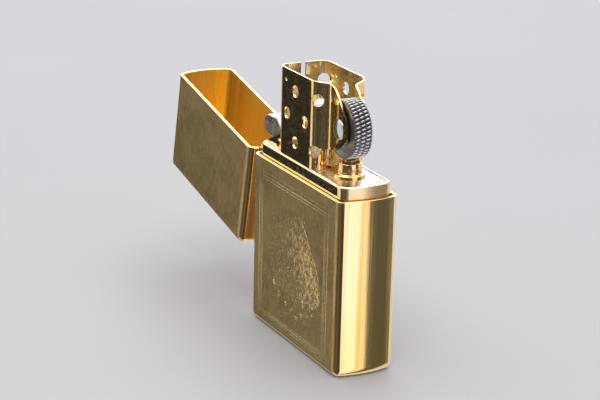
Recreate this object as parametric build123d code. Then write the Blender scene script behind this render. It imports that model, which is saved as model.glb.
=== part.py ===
from build123d import *
import math
import os

# Flip-top windproof petrol lighter, lid open.
# Millimetres. +Z up, X along the width (hinge on the -X side, wheel on the +X side),
# Y through the thickness. Origin at the centre of the case's underside.
os.makedirs("parts", exist_ok=True)

# ---------------------------------------------------------------- driving dimensions
CASE_W = 38.1          # width of case and lid
CASE_T = 12.7          # thickness of case and lid
CASE_H = 34.87         # height of the lower case
TOTAL_H = 57.15        # height with the lid shut
SPLIT_GAP = 0.06       # gap between case rim and shut lid
END_R = 19.4           # radius of the bowed narrow ends
CORNER_R = 1.55        # upright corners of the case
WALL = 0.65            # case and lid sheet
BASE_EDGE_R = 1.5      # rounding round the underside and the lid top
RIM_R = 0.14           # rounding of the two rims

HINGE_X = -19.2        # lid hinge axis
HINGE_Z = 34.9
LID_OPEN = 168.4       # angle from shut to the open stop
LEAF_T = 0.35          # hinge leaf sheet
LOWER_LEAF_H = 7.5     # height of each leaf; the upper one stops below the cam
UPPER_LEAF_H = 4.6
KNUCKLE_R = 1.0
KNUCKLE_L = 1.6
KNUCKLE_PITCH = 1.7
KNUCKLE_BORE_R = 0.6
PIN_R = 0.55
SLOT_HALF = 4.35       # half width of the hinge slot in the end walls
SLOT_DEPTH = 1.15

INSERT_X = 0.075       # the insert sits a little towards the wheel
INSERT_W = 36.05
INSERT_T = 11.0
INSERT_TOP = 37.45
INSERT_WALL = 0.4
INSERT_END_R = 18.4
INSERT_CORNER_R = 1.9
INSERT_EDGE_R = 0.6    # rounding of the insert's top edge

SHEET = 0.35           # chimney sheet
CHIM_TOP = 54.65
CHIM_Y = 5.3           # outer face of the broad chimney walls
CHIM_END_X = -9.95     # outer face of the chimney's hinge end
CHIM_CORNER_R = 2.0
SEAM_HALF = 0.55       # half of the open seam in the hinge end
BEND_X = 3.9           # where the -Y broad wall starts to bend in to its ear
FAR_SHIFT = 1.2        # the +Y half is folded this much nearer the wheel
EAR_Y = 2.4            # outer face of the wheel ears
EAR_R = 3.2
HOLE_D = 2.45
HOLE_TOP_Z = 50.95     # the three rows of holes
HOLE_MID_Z = 45.95
HOLE_LOW_Z = 40.9

WHEEL_X = 9.9          # wheel axis
WHEEL_Z = 46.3
WHEEL_R = 5.7
WHEEL_HALF = 1.8
WHEEL_TEETH = 44
TOOTH_H = 0.28
WHEEL_BORE_R = 0.95
AXLE_R = 0.9
AXLE_HEAD_R = 1.95
AXLE_DOME = 0.45

TUBE_X = 10.2          # flint tube axis
TUBE_R = 1.75
TUBE_BORE_R = 1.28
FLINT_R = 1.2
FLINT_TOP = 40.5
COLLAR_TOP = 39.95
COLLAR_R = 2.35
COLLAR_BORE_R = 1.85
COLLAR_FLANGE_R = 3.1

CAM_X = -10.9          # cam pivot
CAM_Z = 38.5
CAM_HEAD_X = -17.7     # middle of the cam's round head
CAM_HEAD_Z = 40.4
CAM_NOSE_R = 2.1       # radius of the round head
CAM_HALF = 3.4
CAM_SHEET = 0.45
CAM_EAR_Y = 4.3
CAM_PIN_R = 0.5
CAM_HEAD_R = 0.8

WICK_X = -2.0
WICK_R = 1.5
WICK_TOP = 49.0


def outline(width, thick, end_r, corner):
    """Straight long sides, bowed narrow ends and rounded corners."""
    y = thick / 2
    bow = end_r - math.sqrt(end_r**2 - y**2)
    x = width / 2 - bow
    wire = Wire([
        Edge.make_line((-x, -y), (x, -y)),
        Edge.make_three_point_arc((x, -y), (width / 2, 0), (x, y)),
        Edge.make_line((x, y), (-x, y)),
        Edge.make_three_point_arc((-x, y), (-width / 2, 0), (-x, -y)),
    ])
    face = Face(wire)
    return face.fillet_2d(corner, face.vertices())


def prism(face, z0, z1):
    return Pos(0, 0, z0) * extrude(face, z1 - z0, dir=(0, 0, 1))


def case_outline(inset):
    return outline(CASE_W - 2 * inset, CASE_T - 2 * inset, END_R - inset,
                   max(CORNER_R - inset, 0.45))


def insert_outline(inset):
    return outline(INSERT_W - 2 * inset, INSERT_T - 2 * inset, INSERT_END_R - inset,
                   max(INSERT_CORNER_R - inset, 0.3))


def block(x0, x1, y0, y1, z0, z1):
    return Pos((x0 + x1) / 2, (y0 + y1) / 2, (z0 + z1) / 2) * Box(x1 - x0, y1 - y0, z1 - z0)


def rod_z(x, r, z0, z1):
    return Pos(x, 0, (z0 + z1) / 2) * Cylinder(r, z1 - z0)


def rod_y(x, z, r, y0, y1):
    return Pos(x, (y0 + y1) / 2, z) * Rot(90, 0, 0) * Cylinder(r, y1 - y0)


def cut_along_y(points, y0, y1):
    """Solid with the given X-Z outline, running from y0 to y1."""
    face = Plane.XZ * make_face(Polyline(*points, close=True))
    return Pos(0, y1, 0) * extrude(face, y1 - y0, dir=(0, -1, 0))


def open_lid(part):
    """Swing a part drawn with the lid shut to the open stop."""
    axis = Axis((HINGE_X, 0, HINGE_Z), (0, -1, 0))
    return part.rotate(axis, LID_OPEN)


def at_level(part, z):
    return part.edges().filter_by_position(Axis.Z, z - 0.001, z + 0.001)


parts = {}

# ---------------------------------------------------------------- lower case
case = prism(case_outline(0), 0, CASE_H)
case = fillet(at_level(case, 0), BASE_EDGE_R)
case = fillet(at_level(case, CASE_H), RIM_R)
cavity = prism(case_outline(WALL), WALL, CASE_H + 5)
cavity = fillet(at_level(cavity, WALL), 0.4)
slot = block(HINGE_X - 3, HINGE_X + 2.2, -SLOT_HALF, SLOT_HALF, HINGE_Z - SLOT_DEPTH, HINGE_Z + 5)
parts["case_body"] = case - cavity - slot

# ---------------------------------------------------------------- lid
lid_z0 = CASE_H + SPLIT_GAP
lid = prism(case_outline(0), lid_z0, TOTAL_H)
lid = fillet(at_level(lid, TOTAL_H), BASE_EDGE_R)
lid = fillet(at_level(lid, lid_z0), RIM_R)
cavity = prism(case_outline(WALL), lid_z0 - 5, TOTAL_H - WALL)
cavity = fillet(at_level(cavity, TOTAL_H - WALL), 0.4)
slot = block(HINGE_X - 3, HINGE_X + 2.2, -SLOT_HALF, SLOT_HALF, HINGE_Z - 5, HINGE_Z + SLOT_DEPTH)
parts["case_lid"] = open_lid(lid - cavity - slot)


# ---------------------------------------------------------------- hinge
def knuckle(index):
    start = -2.5 * KNUCKLE_PITCH + (KNUCKLE_PITCH - KNUCKLE_L) / 2
    y0 = start + index * KNUCKLE_PITCH
    return y0, y0 + KNUCKLE_L


def leaf(indices, below):
    """One hinge leaf: a bowed plate inside the end wall and its knuckles."""
    bottom, top = HINGE_Z - LOWER_LEAF_H, HINGE_Z + UPPER_LEAF_H
    sheet = prism(case_outline(WALL), bottom, top)
    sheet -= prism(case_outline(WALL + LEAF_T), bottom - 1, top + 1)
    sheet &= block(HINGE_X - 1, HINGE_X + 3, -4.15, 4.15, bottom, top)
    z0, z1 = (bottom, HINGE_Z - 1.2) if below else (HINGE_Z + 1.2, top)
    body = sheet & block(HINGE_X - 1, HINGE_X + 3, -5, 5, z0, z1)
    reach = -1.5 if below else 1.5
    for index in indices:
        y0, y1 = knuckle(index)
        tab = block(HINGE_X + 0.8, HINGE_X + 0.8 + LEAF_T, y0, y1,
                    min(HINGE_Z, HINGE_Z + reach), max(HINGE_Z, HINGE_Z + reach))
        bent = sheet & block(HINGE_X - 1, HINGE_X + 3, y0, y1,
                             min(HINGE_Z, HINGE_Z + reach), max(HINGE_Z, HINGE_Z + reach))
        body += tab & prism(case_outline(WALL), HINGE_Z - 2, HINGE_Z + 2)
        body += bent
        body += rod_y(HINGE_X, HINGE_Z, KNUCKLE_R, y0, y1)
        body -= rod_y(HINGE_X, HINGE_Z, KNUCKLE_BORE_R, y0 - 0.01, y1 + 0.01)
    return body


parts["hinge_leaf_lower"] = leaf((0, 2, 4), True)
parts["hinge_leaf_upper"] = open_lid(leaf((1, 3), False))
pin_y = 2.5 * KNUCKLE_PITCH + 0.03
pin = rod_y(HINGE_X, HINGE_Z, PIN_R, -pin_y, pin_y)
parts["hinge_pin"] = chamfer(pin.edges().filter_by(GeomType.CIRCLE), 0.1)

# ---------------------------------------------------------------- insert shell (fuel tank)
shell = Pos(INSERT_X, 0, 0) * prism(insert_outline(0), WALL, INSERT_TOP)
shell = fillet(at_level(shell, INSERT_TOP), INSERT_EDGE_R)
shell = chamfer(at_level(shell, WALL), 0.28)
hollow = Pos(INSERT_X, 0, 0) * prism(insert_outline(INSERT_WALL), WALL - 1, INSERT_TOP - 0.6)
shell -= hollow
pan = Pos(INSERT_X, 0, 0) * prism(insert_outline(0.8), INSERT_TOP - 0.15, INSERT_TOP + 1)
pan &= block(5.6, 30, -10, 10, INSERT_TOP - 1, INSERT_TOP + 1)
shell -= pan
shell -= rod_z(TUBE_X, TUBE_R + 0.02, INSERT_TOP - 2, INSERT_TOP + 2)
shell -= rod_z(WICK_X, WICK_R + 0.55, INSERT_TOP - 2, INSERT_TOP + 2)
parts["insert_shell"] = shell


# ---------------------------------------------------------------- chimney (windscreen)
def half_shift(side):
    """How far the bend and the holes of one half stand towards the wheel."""
    return FAR_SHIFT if side > 0 else 0.0


def chimney_path(side):
    """Mid-line of one half of the folded sheet, seam to ear tip, seen from above."""
    y = CHIM_Y - SHEET / 2
    x = CHIM_END_X + SHEET / 2
    r = CHIM_CORNER_R - SHEET / 2
    ear = EAR_Y - SHEET / 2
    bend_x = BEND_X + half_shift(side)
    seam = Edge.make_line((x, side * SEAM_HALF), (x, side * (y - r)))
    s = math.sqrt(0.5)
    corner = Edge.make_three_point_arc(
        (x, side * (y - r)), (x + r - r * s, side * (y - r + r * s)), (x + r, side * y))
    broad = Edge.make_line((x + r, side * y), (bend_x, side * y))
    bend = Edge.make_spline(
        [(bend_x, side * y), (bend_x + 1.15, side * 4.45), (bend_x + 1.75, side * 3.2),
         (bend_x + 3.4, side * ear)],
        tangents=[(1, 0), (1, 0)])
    flat = Edge.make_line((bend_x + 3.4, side * ear), (WHEEL_X + EAR_R + 0.2, side * ear))
    return [seam, corner, broad, bend, flat]


def sheet_wall(edges, z0, z1):
    face = trace(Wire(edges), SHEET)
    return Pos(0, 0, z0) * extrude(face, z1 - z0, dir=(0, 0, 1))


def ear_outline():
    """X-Z outline kept from the upper chimney walls."""
    points = [(-20, 41.6), (-20, CHIM_TOP), (4.8, CHIM_TOP), (5.6, 54.4), (6.6, 54.1),
              (7.6, 53.75), (8.5, 53.2), (9.3, 52.4), (12.4, 48.75)]
    for step in range(0, 13):
        angle = math.radians(28 - step * 10.5)
        points.append((WHEEL_X + EAR_R * math.cos(angle), WHEEL_Z + EAR_R * math.sin(angle)))
    points += [(9.2, 42.5), (8.0, 41.95), (7.0, 41.7), (6.2, 41.6)]
    return points


def turned_hole(x, y, z, angle):
    """Short drill of the hole's size, its axis level and turned by angle from +X."""
    return Pos(x, y, z) * Rot(0, 0, angle) * Rot(0, 90, 0) * Cylinder(HOLE_D / 2, 2.2)


upper_keep = cut_along_y(ear_outline(), -10, 10)
chimney = None
for side in (-1, 1):
    shift = half_shift(side)
    lower_keep = block(-20, BEND_X + shift + 1.2, -10, 10, INSERT_TOP, 41.6)
    wall = sheet_wall(chimney_path(side), INSERT_TOP, CHIM_TOP)
    kept = (wall & upper_keep) + (wall & lower_keep)
    end_x = BEND_X + shift + 1.0
    end_mid = Edge.make_spline(
        [(end_x - 0.05, side * 4.6), (end_x + 0.3, side * 3.6), (end_x + 0.2, side * 2.4),
         (end_x - 0.3, side * 1.2)])
    kept += sheet_wall([end_mid], INSERT_TOP, 41.6)
    y0, y1 = sorted((side * (CAM_EAR_Y - SHEET), side * CAM_EAR_Y))
    kept += cut_along_y([(-9.0, INSERT_TOP), (-9.0, 41.0), (-9.6, 40.85), (-12.4, 39.6),
                         (-15.4, 38.15), (-16.4, INSERT_TOP)], y0, y1)
    outside = block(-30, 30, 0.3, 20, 0, 80) if side > 0 else block(-30, 30, -20, -0.3, 0, 80)
    for x, z in ((-2.45, HOLE_TOP_Z), (-5.8, HOLE_MID_Z), (1.7, HOLE_MID_Z), (-2.15, HOLE_LOW_Z)):
        kept -= rod_y(x + shift, z, HOLE_D / 2, -10, 10) & outside
    kept -= turned_hole(BEND_X + shift + 1.15, side * 4.45, HOLE_TOP_Z, side * 28)
    kept -= turned_hole(BEND_X + shift + 0.8, side * 4.72, HOLE_LOW_Z, side * 42)
    kept -= rod_y(-6.5 + shift, 52.45, 0.32, min(side * 4, side * 6), max(side * 4, side * 6))
    chimney = kept if chimney is None else chimney + kept
chimney -= turned_hole(-9.8, -3.05, HOLE_TOP_Z, 0)
chimney -= turned_hole(-9.3, 4.6, HOLE_TOP_Z, -45)
chimney += block(BEND_X + 0.65, BEND_X + FAR_SHIFT + 0.85, -1.4, 1.4, INSERT_TOP, INSERT_TOP + 0.4)
chimney -= rod_y(WHEEL_X, WHEEL_Z, AXLE_R + 0.03, -4, 4)
chimney -= rod_y(CAM_X, CAM_Z, CAM_PIN_R + 0.02, -6, 6)
chimney -= block(-12, CHIM_END_X + 1, -2.15, 2.15, INSERT_TOP - 1, 40.3)
chimney += block(CHIM_END_X, CHIM_END_X + SHEET, -2.3, 2.3, INSERT_TOP, INSERT_TOP + 0.3)
parts["chimney"] = chimney

# ---------------------------------------------------------------- wheel and axle
tooth = []
for step in range(2 * WHEEL_TEETH):
    radius = WHEEL_R if step % 2 else WHEEL_R - TOOTH_H
    angle = math.pi * step / WHEEL_TEETH
    tooth.append((WHEEL_X + radius * math.cos(angle), WHEEL_Z + radius * math.sin(angle)))
wheel = cut_along_y(tooth, -WHEEL_HALF, WHEEL_HALF)
for side in (-1, 1):
    y0, y1 = sorted((side * (WHEEL_HALF - 0.25), side * (WHEEL_HALF + 1)))
    wheel -= rod_y(WHEEL_X, WHEEL_Z, 4.7, y0, y1) - rod_y(WHEEL_X, WHEEL_Z, 2.6, y0, y1)
wheel += rod_y(WHEEL_X, WHEEL_Z, 2.2, -EAR_Y + SHEET + 0.06, EAR_Y - SHEET - 0.06)
wheel -= rod_y(WHEEL_X, WHEEL_Z, WHEEL_BORE_R, -5, 5)
parts["flint_wheel"] = wheel

dome_r = (AXLE_HEAD_R**2 + AXLE_DOME**2) / (2 * AXLE_DOME)
axle = rod_y(WHEEL_X, WHEEL_Z, AXLE_R, -EAR_Y - 0.1, EAR_Y + 0.1)
for side in (-1, 1):
    y0, y1 = sorted((side * EAR_Y, side * (EAR_Y + 0.12)))
    axle += rod_y(WHEEL_X, WHEEL_Z, AXLE_HEAD_R, y0, y1)
    ball = Pos(WHEEL_X, side * (EAR_Y + 0.12 + AXLE_DOME - dome_r), WHEEL_Z) * Sphere(dome_r)
    y0, y1 = sorted((side * (EAR_Y + 0.12), side * (EAR_Y + 2)))
    axle += ball & rod_y(WHEEL_X, WHEEL_Z, AXLE_HEAD_R, y0, y1)
parts["wheel_rivet"] = axle

# ---------------------------------------------------------------- flint feed
TUBE_Z0 = 2.2
parts["flint_tube"] = rod_z(TUBE_X, TUBE_R, TUBE_Z0, 39.2) - rod_z(TUBE_X, TUBE_BORE_R, 0, 45)

pan_z = INSERT_TOP - 0.15
collar = rod_z(TUBE_X, COLLAR_R, pan_z, COLLAR_TOP) + rod_z(TUBE_X, COLLAR_FLANGE_R, pan_z, pan_z + 0.5)
collar = fillet(at_level(collar, pan_z + 0.5), 0.22)
collar -= rod_z(TUBE_X, COLLAR_BORE_R, 0, 45)
collar = fillet(at_level(collar, COLLAR_TOP), 0.12)
parts["flint_tube_collar"] = collar

flint = rod_z(TUBE_X, FLINT_R, 36.0, FLINT_TOP)
parts["flint"] = chamfer(at_level(flint, 36.0), 0.12)
plunger = rod_z(TUBE_X, FLINT_R, 34.6, 36.0) + rod_z(TUBE_X, 0.55, 32.8, 34.6)
parts["flint_plunger"] = chamfer(at_level(plunger, 36.0), 0.15)

SPRING_Z0 = 7.2
SPRING_Z1 = 34.6
wire_r = 0.17
helix = Helix(pitch=1.16, height=SPRING_Z1 - SPRING_Z0 - 2 * wire_r, radius=0.96)
start = Plane(origin=helix @ 0, z_dir=helix % 0)
spring = sweep(start * Circle(wire_r), path=helix)
parts["flint_spring"] = Pos(TUBE_X, 0, SPRING_Z0 + wire_r) * spring

screw = rod_z(TUBE_X, 2.3, 0.95, TUBE_Z0) + rod_z(TUBE_X, FLINT_R, TUBE_Z0, SPRING_Z0)
screw = chamfer(at_level(screw, 0.95), 0.2)
screw -= block(TUBE_X - 3, TUBE_X + 3, -0.35, 0.35, 0, 1.5)
for step in range(5):
    groove = rod_z(TUBE_X, 2, 2.9 + step * 0.8, 3.1 + step * 0.8)
    screw -= groove - rod_z(TUBE_X, FLINT_R - 0.15, 0, 10)
parts["flint_screw"] = screw

# ---------------------------------------------------------------- cam, its rivet and leaf spring
def cam_outline(inset):
    """X-Z outline of the cam's channel, drawn in by inset on its closed sides."""
    r = CAM_NOSE_R - inset
    points = [(CAM_X + 0.1, CAM_Z + 0.8 - inset), (-12.3, 41.3 - inset), (-14.3, 42.6 - inset)]
    for step in range(0, 9):
        angle = math.radians(78 + step * 24)
        points.append((CAM_HEAD_X + r * math.cos(angle), CAM_HEAD_Z + r * math.sin(angle)))
    points += [(-14.5, 38.15), (-12.2, 37.85), (CAM_X, CAM_Z - 0.8)]
    return points


cam = cut_along_y(cam_outline(0), -CAM_HALF, CAM_HALF)
cam = fillet([e for e in cam.edges() if abs(abs(e.center().Y) - CAM_HALF) < 0.001], 0.3)
cam += rod_y(CAM_X, CAM_Z, 0.85, -CAM_HALF, CAM_HALF)
core = cut_along_y(cam_outline(CAM_SHEET), -CAM_HALF + CAM_SHEET, CAM_HALF - CAM_SHEET)
core += block(-17.9, -12.0, -CAM_HALF + CAM_SHEET, CAM_HALF - CAM_SHEET, 37, 39.4)
core -= rod_y(CAM_X, CAM_Z, 0.95, -CAM_HALF, CAM_HALF)
cam -= core
cam -= rod_y(CAM_X, CAM_Z, CAM_PIN_R + 0.05, -4, 4)
parts["cam"] = cam

cam_pin = rod_y(CAM_X, CAM_Z, CAM_PIN_R, -CAM_EAR_Y - 0.25, CAM_EAR_Y + 0.25)
for side in (-1, 1):
    y0, y1 = sorted((side * CAM_EAR_Y, side * (CAM_EAR_Y + 0.3)))
    cam_pin += rod_y(CAM_X, CAM_Z, CAM_HEAD_R, y0, y1)
    y0, y1 = sorted((side * (CAM_EAR_Y - 0.6), side * (CAM_EAR_Y + 1)))
    cam_pin -= rod_y(CAM_X, CAM_Z, 0.3, y0, y1)
parts["cam_rivet"] = cam_pin

strip = Edge.make_spline([(-16.9, INSERT_TOP + 0.14), (-15.6, INSERT_TOP + 0.16),
                          (-14.2, INSERT_TOP + 0.4), (-13.0, INSERT_TOP + 0.16)])
profile = Plane.XZ * trace(Wire([strip]), 0.26)
leaf_spring = Pos(0, 1.2, 0) * extrude(profile, 2.4, dir=(0, -1, 0))
parts["cam_spring"] = leaf_spring & block(-20, 0, -3, 3, INSERT_TOP, INSERT_TOP + 3)

# ---------------------------------------------------------------- wick, packing and felt
wick = rod_z(WICK_X, WICK_R, 8.0, WICK_TOP)
parts["wick"] = fillet(at_level(wick, WICK_TOP), 0.9)
sleeve = rod_z(WICK_X, WICK_R + 0.53, INSERT_TOP - 0.6, INSERT_TOP)
sleeve += rod_z(WICK_X, WICK_R + 1.1, INSERT_TOP, INSERT_TOP + 0.45)
sleeve -= rod_z(WICK_X, WICK_R + 0.05, 0, 60)
parts["wick_sleeve"] = sleeve

tunnels = rod_z(TUBE_X, TUBE_R + 0.08, 0, 50) + rod_z(WICK_X, WICK_R + 0.08, 0, 50)
pad_outline = insert_outline(INSERT_WALL + 0.12)
for number, (z0, z1) in enumerate(((4.0, 14.8), (15.0, 25.8), (26.0, 36.7)), start=1):
    wad = prism(pad_outline, z0, z1)
    wad = fillet(at_level(wad, z0) + at_level(wad, z1), 1.2)
    parts[f"cotton_wad_{number}"] = Pos(INSERT_X, 0, 0) * wad - tunnels
felt = Pos(INSERT_X, 0, 0) * prism(pad_outline, 0.8, 3.8)
parts["felt_pad"] = felt - rod_z(TUBE_X, 2.45, 0, 3) - rod_z(TUBE_X, TUBE_R + 0.08, 0, 5)

for name, part in parts.items():
    part.label = name
    export_step(part, f"parts/{name}.step")
    solids = len(part.solids())
    box = part.bounding_box()
    print(f"{name}: {solids} solid(s), volume {part.volume:.2f}, "
          f"z {box.min.Z:.2f} to {box.max.Z:.2f}")
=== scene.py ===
import math
import random

import bmesh
import bpy
from mathutils import Matrix, Vector


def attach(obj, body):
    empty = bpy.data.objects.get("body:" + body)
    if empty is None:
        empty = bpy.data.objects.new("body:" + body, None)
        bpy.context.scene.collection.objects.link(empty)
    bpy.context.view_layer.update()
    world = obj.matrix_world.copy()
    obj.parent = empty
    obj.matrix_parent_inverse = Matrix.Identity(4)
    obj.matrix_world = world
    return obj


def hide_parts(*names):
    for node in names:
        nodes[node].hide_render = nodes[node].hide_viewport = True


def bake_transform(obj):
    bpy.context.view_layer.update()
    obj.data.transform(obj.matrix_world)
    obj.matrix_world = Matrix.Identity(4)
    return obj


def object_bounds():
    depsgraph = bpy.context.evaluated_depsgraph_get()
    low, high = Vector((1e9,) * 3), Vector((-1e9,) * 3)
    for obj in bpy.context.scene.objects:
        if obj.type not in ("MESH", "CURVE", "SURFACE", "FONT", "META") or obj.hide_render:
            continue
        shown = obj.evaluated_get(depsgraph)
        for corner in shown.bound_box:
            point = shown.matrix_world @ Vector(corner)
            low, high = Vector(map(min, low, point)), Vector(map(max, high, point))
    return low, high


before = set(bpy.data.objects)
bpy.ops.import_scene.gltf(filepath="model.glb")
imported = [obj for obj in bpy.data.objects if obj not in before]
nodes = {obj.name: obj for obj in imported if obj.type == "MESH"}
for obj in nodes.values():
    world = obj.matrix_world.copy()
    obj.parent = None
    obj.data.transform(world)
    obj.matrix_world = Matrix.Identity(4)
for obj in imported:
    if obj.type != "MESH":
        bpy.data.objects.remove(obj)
cad_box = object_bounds()
scene = bpy.context.scene
MM = 0.001

# ------------------------------------------------------------------ camera
CAM_AZ = math.radians(62.738)
CAM_EL = math.radians(17.689)
CAM_ROLL = math.radians(1.3755)
CAM_DIST = 366.55 * MM
CAM_SIDE = -4.487 * MM
CAM_RISE = 8.8285 * MM
CAM_AIM = Vector((0, 0, 20 * MM))
LENS_MM = 112.612

back = Vector((
    math.sin(CAM_AZ) * math.cos(CAM_EL),
    -math.cos(CAM_AZ) * math.cos(CAM_EL),
    math.sin(CAM_EL),
))
right = (-back).cross(Vector((0, 0, 1))).normalized()
up = right.cross(-back)
cam_data = bpy.data.cameras.new("camera")
cam_data.lens = LENS_MM
cam_data.sensor_width = 36
cam_data.clip_start = 0.005
camera = bpy.data.objects.new("camera", cam_data)
scene.collection.objects.link(camera)
cam_x = right * math.cos(CAM_ROLL) + up * math.sin(CAM_ROLL)
cam_y = up * math.cos(CAM_ROLL) - right * math.sin(CAM_ROLL)
turn = Matrix((cam_x, cam_y, back)).transposed()
place = CAM_AIM + right * CAM_SIDE + up * CAM_RISE + back * CAM_DIST
camera.matrix_world = Matrix.Translation(place) @ turn.to_4x4()
scene.camera = camera

# ------------------------------------------------------------------ materials
# Lengths in mm, as the shaders' coordinates below.
LID_OPEN = math.radians(168.4)
HINGE = Vector((-19.2, 0, 34.9))
CASE_HALF_T = 6.35
CASE_HALF_W = 19.05
END_R = 19.4           # radius of the bowed ends
LID_TOP = 57.15        # with the lid shut
WICK_X = -2.0          # the wick's axis, also the middle of the chimney
SKIN = 0.6             # depth under the outer faces that counts as outside
CORNER_SKIN = 1.35     # the same, measured across and along together at the rounded corners
SKIN_EDGE = 0.1        # width of the change from inside to outside


class Nodes:
    """A node tree, with short calls for the nodes that this scene uses."""

    def __init__(self, tree):
        self.tree = tree

    def node(self, kind, **settings):
        made = self.tree.nodes.new(kind)
        for key, value in settings.items():
            setattr(made, key, value)
        return made

    def put(self, socket, value):
        if isinstance(value, bpy.types.NodeSocket):
            self.tree.links.new(value, socket)
        elif hasattr(socket.default_value, "__len__") and len(value) == 3 and len(socket.default_value) == 4:
            socket.default_value = (*value, 1)
        else:
            socket.default_value = value

    def math(self, operation, a, b=0.0, c=0.0):
        made = self.node("ShaderNodeMath", operation=operation)
        for socket, value in zip(made.inputs, (a, b, c)):
            self.put(socket, value)
        return made.outputs[0]

    def math3(self, operation, a, b=(0, 0, 0), scale=1.0):
        made = self.node("ShaderNodeVectorMath", operation=operation)
        self.put(made.inputs[0], a)
        if operation == "SCALE":
            made.inputs["Scale"].default_value = scale
        else:
            self.put(made.inputs[1], b)
        return made.outputs[0]

    def split(self, vector):
        made = self.node("ShaderNodeSeparateXYZ")
        self.put(made.inputs[0], vector)
        return made.outputs

    def step(self, value, low, high, out_low=0.0, out_high=1.0):
        """Smooth step from out_low at low to out_high at high."""
        made = self.node("ShaderNodeMapRange", interpolation_type="SMOOTHSTEP")
        for socket, number in zip(made.inputs, (value, low, high, out_low, out_high)):
            self.put(socket, number)
        return made.outputs[0]

    def mix(self, factor, a, b):
        made = self.node("ShaderNodeMix", data_type="RGBA")
        self.put(made.inputs["Factor"], factor)
        self.put(made.inputs[6], a)
        self.put(made.inputs[7], b)
        return made.outputs[2]

    def lerp(self, factor, a, b):
        made = self.node("ShaderNodeMix", data_type="FLOAT")
        self.put(made.inputs[0], factor)
        self.put(made.inputs[2], a)
        self.put(made.inputs[3], b)
        return made.outputs[0]


class Shader(Nodes):
    """A node material on the Principled shader. Lengths are in mm."""

    def __init__(self, name):
        self.material = bpy.data.materials.new(name)
        self.material.use_nodes = True
        super().__init__(self.material.node_tree)
        self.bsdf = self.tree.nodes["Principled BSDF"]
        self.place = self.math3("SCALE", self.node("ShaderNodeTexCoord").outputs["Object"], scale=1 / MM)

    def facing(self):
        """The face normal's X, Y and Z, each from -1 to 1."""
        return self.split(self.node("ShaderNodeTexCoord").outputs["Normal"])

    def noise(self, per_mm, detail, rough, place=None):
        """Noise with its own number of features per mm along X, Y and Z."""
        made = self.node("ShaderNodeTexNoise")
        self.put(made.inputs["Vector"], self.math3("MULTIPLY", place or self.place, per_mm))
        made.inputs["Scale"].default_value = 1
        made.inputs["Detail"].default_value = detail
        made.inputs["Roughness"].default_value = rough
        return made.outputs["Fac"]

    def bump(self, height, depth_mm, below=None):
        made = self.node("ShaderNodeBump")
        made.inputs["Strength"].default_value = 1
        made.inputs["Distance"].default_value = depth_mm * MM
        self.put(made.inputs["Height"], height)
        if below is not None:
            self.put(made.inputs["Normal"], below)
        return made.outputs[0]

    def finish(self, colour, rough, normal=None, metal=1.0):
        self.put(self.bsdf.inputs["Base Color"], colour)
        self.put(self.bsdf.inputs["Roughness"], rough)
        self.bsdf.inputs["Metallic"].default_value = metal
        if normal is not None:
            self.put(self.bsdf.inputs["Normal"], normal)
        return self.material

    def scratches(self, per_mm, share, tilt):
        """Sparse fine lines: 1 on a scratch, 0 beside it."""
        turned = self.node("ShaderNodeVectorRotate", rotation_type="EULER_XYZ")
        self.put(turned.inputs["Vector"], self.place)
        turned.inputs["Rotation"].default_value = tilt
        lines = self.noise(per_mm, 2.0, 0.5, turned.outputs[0])
        return self.step(self.math("ABSOLUTE", self.math("SUBTRACT", lines, 0.5)), share, 0.0)


def shell_skin(s, lid):
    """1 in the outer skin of the case or the lid, 0 inside it; and 1 on the broad sides alone."""
    x, y, z = s.split(s.place)
    across = s.math("ABSOLUTE", y)
    sides = s.step(across, CASE_HALF_T - SKIN, CASE_HALF_T - SKIN + SKIN_EDGE)
    bow = s.math("SUBTRACT", END_R, s.math("SQRT", s.math("SUBTRACT", END_R ** 2, s.math("MULTIPLY", y, y))))
    along = s.math("ADD", s.math("ABSOLUTE", x), bow)
    ends = s.step(along, CASE_HALF_W - SKIN, CASE_HALF_W - SKIN + SKIN_EDGE)
    corner_out = CASE_HALF_W + CASE_HALF_T - CORNER_SKIN
    corners = s.step(s.math("ADD", across, along), corner_out, corner_out + SKIN_EDGE)
    if lid:
        closed_end = s.step(z, LID_TOP - SKIN, LID_TOP - SKIN + SKIN_EDGE)
    else:
        closed_end = s.step(z, SKIN, SKIN - SKIN_EDGE)
    skin = s.math("MAXIMUM", s.math("MAXIMUM", s.math("MAXIMUM", sides, ends), corners), closed_end)
    return skin, sides


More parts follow.
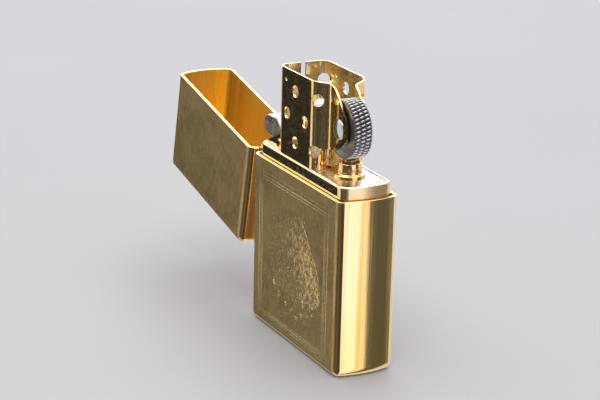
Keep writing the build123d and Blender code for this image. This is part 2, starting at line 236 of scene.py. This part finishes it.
def shell_brass(name, lid):
    """Brushed brass outside, bright where it is bowed or rounded; the broad faces get a darker colour,
    painted shade. Soft and deep gold inside, its brighter, more orange colour a painted reflection of the
    gold walls in each other.
    """
    s = Shader(name)
    if lid:
        shut = s.node("ShaderNodeVectorRotate", rotation_type="Y_AXIS")
        s.put(shut.inputs["Vector"], s.place)
        shut.inputs["Center"].default_value = HINGE
        shut.inputs["Angle"].default_value = LID_OPEN
        s.place = shut.outputs[0]
    skin, sides = shell_skin(s, lid)
    broad = s.step(s.math("ABSOLUTE", s.facing()[1]), 0.76, 0.93)
    # Mask of the broad brushed faces, which also carry the darker colour of painted shade.
    brushed_and_shaded = s.math("MULTIPLY", broad, sides)
    fine = s.noise((5.5, 5.5, 0.3), 3.0, 0.65)
    coarse = s.noise((1.6, 1.6, 0.035), 3.0, 0.55)
    cloud = s.noise((0.11, 0.11, 0.16), 4.0, 0.6)
    grain = s.noise((2.6, 2.6, 2.6), 3.0, 0.7)
    drawn = s.noise((3.4, 3.4, 0.02), 2.0, 0.5)

    polished = s.mix(s.step(drawn, 0.3, 0.7), (0.84, 0.56, 0.23), (0.96, 0.69, 0.36))
    if not lid:
        low_down = s.step(s.split(s.place)[2], 24, 2, 0.0, 0.55)
        polished = s.mix(low_down, polished, (0.88, 0.56, 0.18))
    # Broad faces: satin brass in a darker colour than the polished ends, painted shade on the same metal.
    satin_painted_light = s.mix(s.step(fine, 0.3, 0.7), (0.34, 0.24, 0.095), (0.64, 0.46, 0.20))
    satin_painted_light = s.mix(s.step(grain, 0.35, 0.65, 0.0, 0.55), satin_painted_light, (0.29, 0.21, 0.085))
    satin_painted_light = s.mix(s.step(cloud, 0.42, 0.62, 0.0, 0.3), satin_painted_light, (0.34, 0.25, 0.105))
    # Inside: a brighter, more orange gold than the outside brass, a painted reflection of the gold walls
    # lighting each other.
    inside = s.mix(s.step(coarse, 0.35, 0.65), (1.0, 0.70, 0.18), (1.0, 0.82, 0.32))
    colour = s.mix(skin, inside, s.mix(brushed_and_shaded, polished, satin_painted_light))

    rough_end = s.step(coarse, 0.3, 0.7, 0.08, 0.14)
    rough_face = s.step(cloud, 0.35, 0.65, 0.33, 0.42)
    rough = s.lerp(brushed_and_shaded, rough_end, rough_face)
    rough = s.math("ADD", rough, s.math("MULTIPLY", s.step(fine, 0.4, 0.7), 0.05))
    rough = s.lerp(skin, s.step(coarse, 0.35, 0.65, 0.30, 0.46), rough)

    normal = s.bump(coarse, 0.010)
    normal = s.bump(s.math("MULTIPLY", fine, s.lerp(brushed_and_shaded, 0.3, 1.0)), 0.007, normal)
    normal = s.bump(s.math("MULTIPLY", grain, brushed_and_shaded), 0.008, normal)
    return s.finish(colour, rough, normal)


def polished_brass(name, low, high, rough, lines, dull_and_painted_sheen_face=None):
    """Bright drawn sheet: faint drawing lines, smears and a few scratches.

    The last argument is None, "up" for a satin top face in a paler colour, a painted highlight, or "inward"
    for satin faces turned to the middle in a brighter pale gold, painted light.
    """
    s = Shader(name)
    drawn = s.noise(lines, 3.0, 0.6)
    smear = s.noise((0.35, 0.35, 0.22), 4.0, 0.65)
    marks = s.scratches((0.35, 7, 0.9), 0.012, (0.3, 0.5, 0.2))
    colour = s.mix(s.step(smear, 0.35, 0.65), low, high)
    dull = s.step(smear, 0.45, 0.7, rough[0], rough[1])
    if dull_and_painted_sheen_face == "up":
        normal_x, _, normal_z = s.facing()
        # Top face: satin, and a paler pinkish colour that is a painted highlight.
        satin_painted_light = s.step(normal_z, 0.75, 0.97)
        colour = s.mix(satin_painted_light, colour, s.mix(s.step(smear, 0.3, 0.7), (0.86, 0.70, 0.56), (0.93, 0.80, 0.70)))
        dull = s.lerp(satin_painted_light, dull, s.step(smear, 0.35, 0.65, 0.22, 0.30))
        dull = s.math("MAXIMUM", dull, s.step(normal_x, 0.6, 0.95, 0.0, 0.31))     # the narrow end
    elif dull_and_painted_sheen_face == "inward":
        normal_x, normal_y, _ = s.facing()
        x, y, _ = s.split(s.place)
        outward = s.math("ADD", s.math("MULTIPLY", normal_x, s.math("SUBTRACT", x, WICK_X)),
                         s.math("MULTIPLY", normal_y, y))
        # Faces turned to the middle: satin, and a brighter pale gold colour that is painted light inside the
        # chimney.
        satin_painted_light = s.step(outward, 0.2, -0.2)
        colour = s.mix(satin_painted_light, colour, (1.0, 0.84, 0.48))
        dull = s.lerp(satin_painted_light, dull, s.step(smear, 0.35, 0.65, 0.11, 0.19))
    dull = s.math("ADD", dull, s.math("MULTIPLY", marks, 0.18))
    normal = s.bump(s.math("ADD", drawn, s.math("MULTIPLY", smear, 1.5)), 0.002)
    normal = s.bump(marks, 0.002, normal)
    return s.finish(colour, dull, normal)


def steel(name, low, high, rough, grain):
    """Plain steel with a direction in its grain, smears and fine scratches."""
    s = Shader(name)
    drawn = s.noise(grain, 3.0, 0.6)
    smear = s.noise((0.6, 0.6, 0.6), 4.0, 0.6)
    marks = s.scratches((0.5, 6, 1.1), 0.02, (0.7, 0.2, 0.5))
    colour = s.mix(s.step(smear, 0.35, 0.65), low, high)
    dull = s.math("ADD", s.step(drawn, 0.3, 0.7, rough[0], rough[1]), s.math("MULTIPLY", marks, 0.15))
    normal = s.bump(drawn, 0.0015)
    normal = s.bump(marks, 0.003, normal)
    return s.finish(colour, dull, normal)


def tooth_steel(name):
    """Hardened dark steel, rubbed bright on the tooth tips: height comes with the mesh."""
    s = Shader(name)
    tip = s.node("ShaderNodeAttribute", attribute_name="tip").outputs["Fac"]
    soot = s.noise((2.2, 2.2, 2.2), 4.0, 0.65)
    pits = s.noise((14, 14, 14), 2.0, 0.5)
    worn = s.step(s.math("ADD", tip, s.math("MULTIPLY", s.math("SUBTRACT", soot, 0.5), 0.5)), 0.45, 0.95)
    colour = s.mix(worn, (0.11, 0.11, 0.115), (0.46, 0.445, 0.45))
    dull = s.lerp(worn, 0.46, 0.27)
    normal = s.bump(s.math("ADD", pits, soot), 0.006)
    return s.finish(colour, dull, normal)


def rough_alloy(name, low, high):
    s = Shader(name)
    pits = s.noise((5, 5, 5), 4.0, 0.7)
    lines = s.noise((9, 9, 0.6), 2.0, 0.5)
    colour = s.mix(s.step(pits, 0.35, 0.65), low, high)
    normal = s.bump(s.math("ADD", pits, lines), 0.02)
    return s.finish(colour, s.step(pits, 0.3, 0.7, 0.32, 0.5), normal)


def fibre(name, low, high, per_mm, depth):
    """Cotton: matted threads, with soft sheen."""
    s = Shader(name)
    thread = s.noise(per_mm, 4.0, 0.7)
    fluff = s.noise((1.1, 1.1, 1.1), 4.0, 0.6)
    colour = s.mix(s.step(thread, 0.3, 0.7), low, high)
    colour = s.mix(s.step(fluff, 0.45, 0.7, 0.0, 0.3), colour, tuple(0.8 * c for c in low))
    normal = s.bump(s.math("ADD", thread, fluff), depth)
    material = s.finish(colour, 0.9, normal, metal=0.0)
    s.bsdf.inputs["Sheen Weight"].default_value = 0.4
    s.bsdf.inputs["Sheen Roughness"].default_value = 0.5
    return material


BRASS_LOW, BRASS_HIGH = (0.80, 0.57, 0.25), (0.90, 0.67, 0.32)
mats = {
    "case": shell_brass("brass_case", lid=False),
    "lid": shell_brass("brass_lid", lid=True),
    "insert": polished_brass("brass_insert", (0.84, 0.62, 0.32), (0.92, 0.71, 0.40),
                             (0.06, 0.12), (6, 6, 0.15), "up"),
    "chimney": polished_brass("brass_chimney", BRASS_LOW, BRASS_HIGH, (0.05, 0.10), (6, 6, 0.12), "inward"),
    "fitting": polished_brass("brass_fitting", BRASS_LOW, BRASS_HIGH, (0.08, 0.16), (0.4, 0.4, 8)),
    "hinge": polished_brass("brass_hinge", (0.74, 0.53, 0.24), (0.86, 0.64, 0.31),
                            (0.14, 0.26), (0.3, 9, 0.3)),
    "pin": steel("steel_pin", (0.55, 0.56, 0.58), (0.68, 0.69, 0.71), (0.15, 0.28), (9, 0.3, 9)),
    "rivet": steel("steel_rivet_head", (0.44, 0.47, 0.52), (0.56, 0.58, 0.63), (0.06, 0.13), (2, 2, 2)),
    "cam": steel("steel_cam_plate", (0.36, 0.345, 0.33), (0.50, 0.48, 0.46), (0.20, 0.34), (0.5, 7, 0.5)),
    "leaf": steel("steel_leaf_spring", (0.48, 0.48, 0.50), (0.58, 0.58, 0.60), (0.18, 0.3), (0.4, 8, 0.4)),
    "spring": steel("steel_wire", (0.50, 0.50, 0.52), (0.64, 0.64, 0.66), (0.2, 0.32), (3, 3, 3)),
    "wheel": tooth_steel("steel_flint_wheel"),
    "flint": rough_alloy("flint_alloy_rod", (0.44, 0.33, 0.18), (0.62, 0.47, 0.25)),
    "wick": fibre("wick_braid", (0.90, 0.88, 0.84), (0.98, 0.97, 0.94), (9, 9, 9), 0.03),
    "cotton": fibre("cotton_fibre", (0.84, 0.81, 0.76), (0.95, 0.94, 0.91), (3.5, 3.5, 6), 0.12),
    "felt": fibre("felt_fibre", (0.78, 0.75, 0.69), (0.90, 0.88, 0.83), (6, 6, 9), 0.08),
}
finish_of = {
    "case_body": "case", "case_lid": "lid", "hinge_leaf_lower": "hinge", "hinge_leaf_upper": "hinge",
    "hinge_pin": "pin", "insert_shell": "insert", "chimney": "chimney", "wheel_rivet": "rivet",
    "flint_tube": "fitting", "flint_tube_collar": "fitting", "flint_screw": "fitting", "flint": "flint",
    "flint_plunger": "fitting", "flint_spring": "spring", "cam": "cam", "cam_rivet": "fitting",
    "cam_spring": "leaf", "wick_sleeve": "fitting", "wick": "wick", "flint_wheel": "wheel",
    "cotton_wad_1": "cotton", "cotton_wad_2": "cotton", "cotton_wad_3": "cotton", "felt_pad": "felt",
}
for node_name, node in nodes.items():
    node.data.materials.clear()
    node.data.materials.append(mats[finish_of[node_name]])


# ------------------------------------------------------------------ pieces that replace plain solids
def add_piece(name, bm, material, body, smooth_angle=40):
    """A finished mesh piece from bm, given in metres in the row frame."""
    mesh = bpy.data.meshes.new(name)
    bm.to_mesh(mesh)
    bm.free()
    piece = bpy.data.objects.new(name, mesh)
    scene.collection.objects.link(piece)
    mesh.materials.append(material)
    mesh.shade_smooth()
    mesh.set_sharp_from_angle(angle=math.radians(smooth_angle))
    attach(piece, body)
    return piece


def ridge(phase):
    """A tooth's height over one turn of phase: 1 at its edge, 0 in the root between two teeth."""
    return 1 - abs(2 * (phase % 1) - 1)


WHEEL_X, WHEEL_Z = 9.9, 46.3
WHEEL_R = 5.68
WHEEL_HALF = 1.8
TEETH = 45
TOOTH_H = 0.34
SHOULDER_R, SHOULDER_H = 5.32, 0.1      # ring beside the teeth, and how far it follows them
RIM_BEVEL_W, RIM_BEVEL_H = 0.2, 0.12
FLANK_POLISH = 0.72       # how bright the turned flanks are, where tooth tips are 1
TOOTH_SLANT = -0.40       # how the deep cuts lean, in teeth per mm of width
CROSS_SLANT = 0.52        # how the shallower cuts lean the other way


def tread_height(turn, y):
    """How far the knurled tread stands in the tooth band at that place, 0 to 1."""
    deep = min(1.0, 1.45 * ridge(TEETH * turn + TOOTH_SLANT * y))
    shallow = min(1.0, 0.32 + 1.6 * ridge(TEETH * turn + CROSS_SLANT * y))
    return min(deep, shallow)


def knurled_wheel():
    """Flint wheel: crossed teeth round the tread, bevelled rims, turned recess and hub on each side."""
    round_steps = TEETH * 12
    tread_steps = 30
    flank = [(5.25, WHEEL_HALF), (4.78, WHEEL_HALF), (4.6, WHEEL_HALF - 0.12), (2.75, WHEEL_HALF - 0.12),
             (2.55, WHEEL_HALF), (2.2, WHEEL_HALF), (2.15, 1.98), (1.0, 1.98), (0.95, 1.9)]
    tread = [-WHEEL_HALF + 2 * WHEEL_HALF * i / tread_steps for i in range(tread_steps + 1)]
    # Each ring is (radius, y, kind): a plain turned ring, the shoulder beside the teeth, or the teeth.
    rings = [(r, -y, "plain") for r, y in reversed(flank)]
    rings += [(SHOULDER_R, -WHEEL_HALF, "shoulder")]
    rings += [(WHEEL_R, y, "teeth") for y in tread]
    rings += [(SHOULDER_R, WHEEL_HALF, "shoulder")]
    rings += [(r, y, "plain") for r, y in flank]
    bm = bmesh.new()
    tip = bm.verts.layers.float.new("tip")
    grid = []
    for radius, y, kind in rings:
        bevel = max(0.0, (abs(y) - WHEEL_HALF + RIM_BEVEL_W) / RIM_BEVEL_W)
        row = []
        for i in range(round_steps):
            turn = i / round_steps
            r, polish = radius, FLANK_POLISH
            if kind == "teeth":
                polish = tread_height(turn, y)
                r = radius - TOOTH_H * (1 - polish) - RIM_BEVEL_H * bevel
            elif kind == "shoulder":
                r = radius + SHOULDER_H * tread_height(turn, y)
            angle = 2 * math.pi * turn
            place = Vector((WHEEL_X + r * math.cos(angle), y, WHEEL_Z + r * math.sin(angle)))
            vert = bm.verts.new(place * MM)
            vert[tip] = polish
            row.append(vert)
        grid.append(row)
    for first, second in zip(grid, grid[1:] + grid[:1]):
        for i in range(round_steps):
            j = (i + 1) % round_steps
            bm.faces.new((first[i], first[j], second[j], second[i]))
    bmesh.ops.recalc_face_normals(bm, faces=bm.faces)
    return bm


wheel = add_piece("flint_wheel_knurled", knurled_wheel(), mats["wheel"], "wheel", 50)
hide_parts("flint_wheel")

WICK_R, WICK_BOTTOM, WICK_TOP = 1.5, 8.0, 49.0
STRANDS = 8
BRAID_PITCH = 5.2


def braided_wick():
    """Round braid: two sets of strands wind opposite ways and pass over and under, with a frayed top."""
    rng = random.Random(7)
    steps_round, steps_up = 96, 330
    bm = bmesh.new()
    rows = []
    for k in range(steps_up + 1):
        z = WICK_BOTTOM + (WICK_TOP - WICK_BOTTOM) * k / steps_up
        near_top = max(0.0, (z - WICK_TOP + 1.6) / 1.6)
        row = []
        for i in range(steps_round):
            turn = i / steps_round
            a = STRANDS * (turn + z / (BRAID_PITCH * STRANDS / 4))
            b = STRANDS * (turn - z / (BRAID_PITCH * STRANDS / 4))
            over = 0.5 + 0.5 * math.sin(math.pi * (a + b)) * math.sin(math.pi * (a - b))
            lump = over * abs(math.sin(math.pi * a)) + (1 - over) * abs(math.sin(math.pi * b))
            fray = near_top * rng.uniform(-0.10, 0.05)
            r = WICK_R - 0.22 + 0.2 * lump + fray - 0.75 * near_top ** 2.4
            angle = 2 * math.pi * turn
            row.append(bm.verts.new(Vector((WICK_X + r * math.cos(angle), r * math.sin(angle), z)) * MM))
        rows.append(row)
    for low, high in zip(rows, rows[1:]):
        for i in range(steps_round):
            j = (i + 1) % steps_round
            bm.faces.new((low[i], low[j], high[j], high[i]))
    bm.faces.new(list(reversed(rows[0])))
    crown = bm.verts.new(Vector((WICK_X, 0, WICK_TOP - 0.05)) * MM)
    for i in range(steps_round):
        bm.faces.new((rows[-1][i], rows[-1][(i + 1) % steps_round], crown))
    return bm


wick = add_piece("wick_braided", braided_wick(), mats["wick"], "case", 180)
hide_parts("wick")


def packed_fibre(node_name, material, shrink, lump, voxel, seed):
    """A lumpy fibre block in the space of a plain solid: the solid remeshed, drawn in and tufted."""
    source = nodes[node_name]
    block = bpy.data.objects.new(node_name + "_fibres", source.data.copy())
    scene.collection.objects.link(block)
    remesh = block.modifiers.new("remesh", "REMESH")
    remesh.mode = "VOXEL"
    remesh.voxel_size = voxel * MM
    graph = bpy.context.evaluated_depsgraph_get()
    mesh = bpy.data.meshes.new_from_object(block.evaluated_get(graph))
    block.modifiers.clear()
    block.data = mesh
    rng = random.Random(seed)
    waves = [(Vector([rng.uniform(-1, 1) for _ in range(3)]).normalized() * rng.uniform(0.5, 3.2),
              rng.uniform(0, 6.28)) for _ in range(14)]
    moved = []
    for vert in mesh.vertices:
        place = vert.co / MM
        wave = sum(math.sin(place.dot(direction) + phase) for direction, phase in waves) / len(waves)
        moved.append(vert.co - vert.normal * (shrink + lump * (0.5 + wave)) * MM)
    for vert, place in zip(mesh.vertices, moved):
        vert.co = place
    mesh.materials.clear()
    mesh.materials.append(material)
    mesh.shade_smooth()
    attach(block, "case")
    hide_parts(node_name)
    return block


for number in (1, 2, 3):
    wad = packed_fibre(f"cotton_wad_{number}", mats["cotton"], 0.05, 0.35, 0.55, number)
felt = packed_fibre("felt_pad", mats["felt"], 0.03, 0.10, 0.5, 9)


def shortening_spring():
    """The flint spring as a copy of the plain solid, with its place baked into the mesh; the solid is hidden.
    """
    coil = bpy.data.objects.new("flint_spring_coil", nodes["flint_spring"].data.copy())
    scene.collection.objects.link(coil)
    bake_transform(coil)
    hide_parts("flint_spring")


shortening_spring()


# ------------------------------------------------------------------ engraved ornament on the front
FACE_Y = -CASE_HALF_T
LINE_H = 0.045            # how proud the lines stand


def raised_line(bm, points, width, height=LINE_H):
    """A low rounded rib along points (x, z) in mm on the front face, tapered at both ends."""
    count = len(points)
    rows = []
    for i, (x, z) in enumerate(points):
        before, after = points[max(i - 1, 0)], points[min(i + 1, count - 1)]
        along = Vector((after[0] - before[0], after[1] - before[1])).normalized()
        side = Vector((-along.y, along.x))
        taper = min(1.0, 0.25 + 3.0 * min(i, count - 1 - i) / max(count - 1, 1))
        row = []
        for across, rise in ((-1, -0.3), (-0.5, 0.75), (0, 1.0), (0.5, 0.75), (1, -0.3)):
            w = width / 2 * taper
            row.append(bm.verts.new(Vector((x + side.x * across * w, FACE_Y - height * taper * rise,
                                            z + side.y * across * w)) * MM))
        rows.append(row)
    for first, second in zip(rows, rows[1:]):
        for j in range(4):
            bm.faces.new((first[j], first[j + 1], second[j + 1], second[j]))


def straight(a, b, steps):
    return [(a[0] + (b[0] - a[0]) * i / steps, a[1] + (b[1] - a[1]) * i / steps) for i in range(steps + 1)]


def bowed(a, b, bow, steps=7):
    """Points from a to b, bowed sideways by bow times the length."""
    dx, dz = b[0] - a[0], b[1] - a[1]
    points = []
    for i in range(steps + 1):
        t = i / steps
        out = 4 * t * (1 - t) * bow
        points.append((a[0] + dx * t - dz * out, a[1] + dz * t + dx * out))
    return points


def smooth_path(points, steps=9):
    """Catmull-Rom curve through the points."""
    ends = [points[0]] + list(points) + [points[-1]]
    path = []
    for p0, p1, p2, p3 in zip(ends, ends[1:], ends[2:], ends[3:]):
        for i in range(steps):
            t = i / steps
            path.append(tuple(0.5 * (2 * b + (c - a) * t + (2 * a - 5 * b + 4 * c - d) * t * t
                                     + (3 * b - a - 3 * c + d) * t ** 3)
                              for a, b, c, d in zip(p0, p1, p2, p3)))
    return path + [points[-1]]


CREST = smooth_path([(-8.6, 15.5), (-7.4, 20.6), (-3.4, 25.2), (2.2, 27.0), (5.2, 24.9), (7.2, 22.1),
                     (9.3, 19.8), (11.1, 16.4), (11.7, 12.6)])
PLUME_FOOT = (2.8, 6.4)


def border_bm():
    """Rectangular frame of three fine lines set in from the edges of the front."""
    bm = bmesh.new()
    for inset, width in ((0.0, 0.32), (0.75, 0.2), (1.35, 0.24)):
        x0, x1, z0, z1 = -15.0 + inset, 14.2 - inset, 2.3 + 0.75 * inset, 32.2 - inset
        corners = [(x0, z0), (x1, z0), (x1, z1), (x0, z1), (x0, z0)]
        for a, b in zip(corners, corners[1:]):
            raised_line(bm, straight(a, b, 24), width, 0.035)
    return bm


# Loose sprigs below the plume: x, z and the way each points, in radians.
SPRIGS = (
    (4.3, 11.8, 0.3), (5.6, 10.3, 1.3), (-3.2, 8.2, -0.4), (-0.6, 7.4, 0.5), (1.4, 6.6, -0.2),
    (3.6, 7.3, 0.8), (6.0, 8.3, 0.1), (-6.0, 9.6, -0.9), (-8.4, 11.2, -0.6), (8.2, 9.2, 0.5),
)
SPRIG_LENGTH = 1.3
BARB_LAYERS = 5


def plume_bm():
    """A fan of feathers under a bowed crest, with short barbs in layers and loose sprigs below it."""
    rng = random.Random(21)
    bm = bmesh.new()
    raised_line(bm, CREST[25:], 0.3, 0.05)
    # Long feathers from the crest towards the foot, longer and shorter by turns.
    for i in range(22, len(CREST) - 1):
        x, z = CREST[i]
        inward = Vector((PLUME_FOOT[0] - x, PLUME_FOOT[1] - z))
        long = inward.length * (rng.uniform(0.30, 0.42) if i % 2 else rng.uniform(0.46, 0.62))
        inward.normalize()
        start = (x + 0.25 * inward.x, z + 0.25 * inward.y)
        end = (x + inward.x * long, z + inward.y * long)
        raised_line(bm, bowed(start, end, rng.uniform(-0.05, 0.03)), rng.uniform(0.16, 0.24))
    # Slanting hatch at the shoulder.
    for i in range(46, len(CREST) - 2):
        x, z = CREST[i]
        for k in range(4):
            foot = (x - 0.3 - 0.95 * k + rng.uniform(-0.1, 0.1), z - 0.3 - 0.5 * k + rng.uniform(-0.15, 0.15))
            end = (foot[0] - rng.uniform(1.3, 1.8), foot[1] - rng.uniform(1.6, 2.2))
            raised_line(bm, bowed(foot, end, 0.06), rng.uniform(0.2, 0.3), 0.06)
    # Short bowed barbs between the feathers.
    for layer in range(1, BARB_LAYERS + 1):
        for i in range(12 + 2 * layer, 62, 2):
            x, z = CREST[i]
            to_foot = (PLUME_FOOT[0] - x, PLUME_FOOT[1] - z)
            pull = 0.13 * layer + rng.uniform(-0.03, 0.03)
            start = (x + to_foot[0] * pull, z + to_foot[1] * pull)
            reach = rng.uniform(0.07, 0.11)
            end = (start[0] + to_foot[0] * reach + rng.uniform(-0.3, 0.3), start[1] + to_foot[1] * reach)
            raised_line(bm, bowed(start, end, rng.uniform(-0.2, 0.2)), rng.uniform(0.16, 0.26), 0.045)
    for x, z, turn in SPRIGS:
        tip = (x + SPRIG_LENGTH * math.cos(turn), z + SPRIG_LENGTH * math.sin(turn))
        for side in (-1, 1):
            raised_line(bm, bowed((x, z), tip, 0.22 * side), 0.2, 0.05)
    return bm


def stipple_bm():
    """Small punched grains that fill the ground round the plume."""
    rng = random.Random(4)
    bm = bmesh.new()
    for _ in range(1300):
        x = rng.gauss(0.5, 5.0)
        z = rng.gauss(15.5, 6.0)
        if not (-13.0 < x < 12.0 and 4.4 < z < 29.0):
            continue
        r = rng.uniform(0.08, 0.16)
        turn = rng.uniform(0, 6.28)
        ring = []
        for k in range(6):
            angle = turn + k * math.pi / 3
            ring.append(bm.verts.new(Vector((x + r * math.cos(angle), FACE_Y + 0.004,
                                             z + r * math.sin(angle))) * MM))
        crown = bm.verts.new(Vector((x, FACE_Y - rng.uniform(0.015, 0.045), z)) * MM)
        for k in range(6):
            bm.faces.new((ring[k], ring[(k + 1) % 6], crown))
    return bm


def ornament_brass(name, low, high, narrow):
    """Cut brass of the lines: lighter and darker by place, painted highlight and painted shade for how each
    cut catches the light.
    """
    s = Shader(name)
    glint_and_shade_noise = s.noise((1.5, 1.5, 1.5), 3.0, 0.6)
    # Lighter and darker lines by noise: painted highlight and painted shade of the cuts.
    colour = s.mix(s.step(glint_and_shade_noise, 0.5 - narrow, 0.5 + narrow), low, high)
    return s.finish(colour, s.step(glint_and_shade_noise, 0.3, 0.7, 0.22, 0.36), s.bump(glint_and_shade_noise, 0.003))


line_brass = ornament_brass("brass_border_lines", (0.50, 0.37, 0.18), (0.74, 0.56, 0.28), 0.2)
cut_brass = ornament_brass("brass_ornament", (0.34, 0.25, 0.11), (0.88, 0.68, 0.35), 0.08)
ornament = (
    ("front_border", border_bm(), line_brass),
    ("front_plume", plume_bm(), cut_brass),
    ("front_stipple", stipple_bm(), cut_brass),
)
for piece_name, made, brass in ornament:
    bmesh.ops.recalc_face_normals(made, faces=made.faces)
    add_piece(piece_name, made, brass, "case", 60)


# ------------------------------------------------------------------ floor and light
FLOOR_FLAT_R = 2.0        # metres, as the other floor sizes
FLOOR_SWEEP = 1.0         # radius of the curve up to the wall
FLOOR_WALL = 2.5
FLOOR_GAP = 0.00002       # clearance under the base, so that the two faces don't flicker
FLOOR_STEPS = 96


def studio_floor():
    """Round pale floor that sweeps up far away, so that every view has the same plain ground."""
    bm = bmesh.new()
    rings = [(0.3, 0.0), (1.2, 0.0), (FLOOR_FLAT_R, 0.0)]
    for i in range(1, 11):
        angle = math.radians(9 * i)
        rings.append((FLOOR_FLAT_R + FLOOR_SWEEP * math.sin(angle), FLOOR_SWEEP * (1 - math.cos(angle))))
    rings.append((FLOOR_FLAT_R + FLOOR_SWEEP, FLOOR_WALL))
    rows = []
    for radius, height in rings:
        row = []
        for i in range(FLOOR_STEPS):
            angle = 2 * math.pi * i / FLOOR_STEPS
            row.append(bm.verts.new((radius * math.cos(angle), radius * math.sin(angle), height)))
        rows.append(row)
    bm.faces.new(rows[0])
    for low, high in zip(rows, rows[1:]):
        for i in range(FLOOR_STEPS):
            j = (i + 1) % FLOOR_STEPS
            bm.faces.new((low[j], low[i], high[i], high[j]))
    mesh = bpy.data.meshes.new("studio_floor")
    bm.to_mesh(mesh)
    bm.free()
    floor = bpy.data.objects.new("studio_floor", mesh)
    scene.collection.objects.link(floor)
    mesh.shade_smooth()
    return floor


def floor_paint():
    s = Shader("floor_paint")
    cloud = s.noise((0.01, 0.01, 0.01), 3.0, 0.5)
    colour = s.mix(cloud, (0.30, 0.30, 0.305), (0.325, 0.325, 0.33))
    return s.finish(colour, 0.7, s.bump(s.noise((2, 2, 2), 3.0, 0.6), 0.01), metal=0.0)


floor = studio_floor()
floor.data.materials.append(floor_paint())
floor.visible_glossy = False
floor.visible_shadow = False
floor.location.z = cad_box[0][2] - FLOOR_GAP

# Light of the studio round the object, going once round: from where to where the brightness
# changes (degrees from +X towards +Y) and its colour from there on. The first entry starts at -180.
ROUND_START = (0.50, 0.52, 0.56)
ROUND = [
    (-178, -168, (0.20, 0.20, 0.21)),
    (-148, -137, (1.05, 1.00, 0.92)),
    (-108, -90, (0.10, 0.095, 0.085)),
    (-66, -59, (0.15, 0.14, 0.12)),
    (-52, -44, (0.07, 0.07, 0.07)),
    (-12, 5, (1.75, 1.60, 1.95)),
    (14, 19, (1.00, 0.90, 0.66)),
    (19, 22, (1.40, 1.30, 1.15)),
    (25, 30, (0.115, 0.125, 0.12)),
    (57, 64, (0.85, 0.90, 1.0)),
    (140, 180, ROUND_START),
]
TOP_LIGHT = (3.6, 3.5, 3.55)
OVERHEAD = (0.75, 0.74, 0.75)     # dimmer patch straight above: level faces keep their colour seen from there


def studio_world():
    """World light worked out from its direction alone: a ring of light and dark, and a bright top."""
    world = bpy.data.worlds.new("studio")
    scene.world = world
    world.use_nodes = True
    w = Nodes(world.node_tree)
    background = w.tree.nodes["Background"]
    direction = w.node("ShaderNodeTexCoord").outputs["Generated"]
    x, y, z = w.split(direction)
    azimuth = w.math("MULTIPLY", w.math("ARCTAN2", y, x), 180 / math.pi)
    height = w.math("MULTIPLY", w.math("ARCSINE", z), 180 / math.pi)

    def near(middle, half, soft):
        """1 within half of that azimuth, fading over soft."""
        away = w.math("ABSOLUTE", w.math("WRAP", w.math("SUBTRACT", azimuth, middle), 180, -180))
        return w.step(away, half + soft, half)

    def between(low, high, soft):
        """1 from the elevation low to high, fading over soft."""
        return w.math("MULTIPLY", w.step(height, low - soft, low), w.step(height, high + soft, high))

    colour = ROUND_START
    for start, end, after in ROUND:
        colour = w.mix(w.step(azimuth, start, end), colour, after)
    dark_card = w.math("MULTIPLY", near(-154, 6, 6), between(-30, -6, 10))
    colour = w.mix(dark_card, colour, (0.028, 0.029, 0.032))
    back_card = w.math("MULTIPLY", near(156, 22, 14), between(6, 48, 8))
    colour = w.mix(back_card, colour, (2.3, 2.2, 2.5))
    front_card = w.math("MULTIPLY", near(-158, 22, 16), between(12, 60, 8))
    colour = w.mix(front_card, colour, (1.9, 1.8, 1.85))
    colour = w.mix(w.step(height, 42, 62), colour, TOP_LIGHT)
    colour = w.mix(w.step(height, 74, 80), colour, OVERHEAD)
    w.put(background.inputs["Color"], colour)
    background.inputs["Strength"].default_value = 1.0


studio_world()


def floor_light(name, place, size, power):
    """Soft light that shapes the floor and the dull pieces, kept out of the metal's reflections."""
    data = bpy.data.lights.new(name, "AREA")
    data.shape = "DISK"
    data.size = size
    data.energy = power
    lamp = bpy.data.objects.new(name, data)
    scene.collection.objects.link(lamp)
    lamp.location = place
    aim = Vector((0, 0, 0.02)) - Vector(place)
    lamp.rotation_euler = aim.to_track_quat("-Z", "Y").to_euler()
    lamp.visible_glossy = False
    return lamp


floor_light("key", (0.7, -0.5, 1.3), 0.9, 6)
floor_light("fill", (-0.8, 0.6, 1.2), 1.0, 3)
scene.view_settings.view_transform = "Standard"
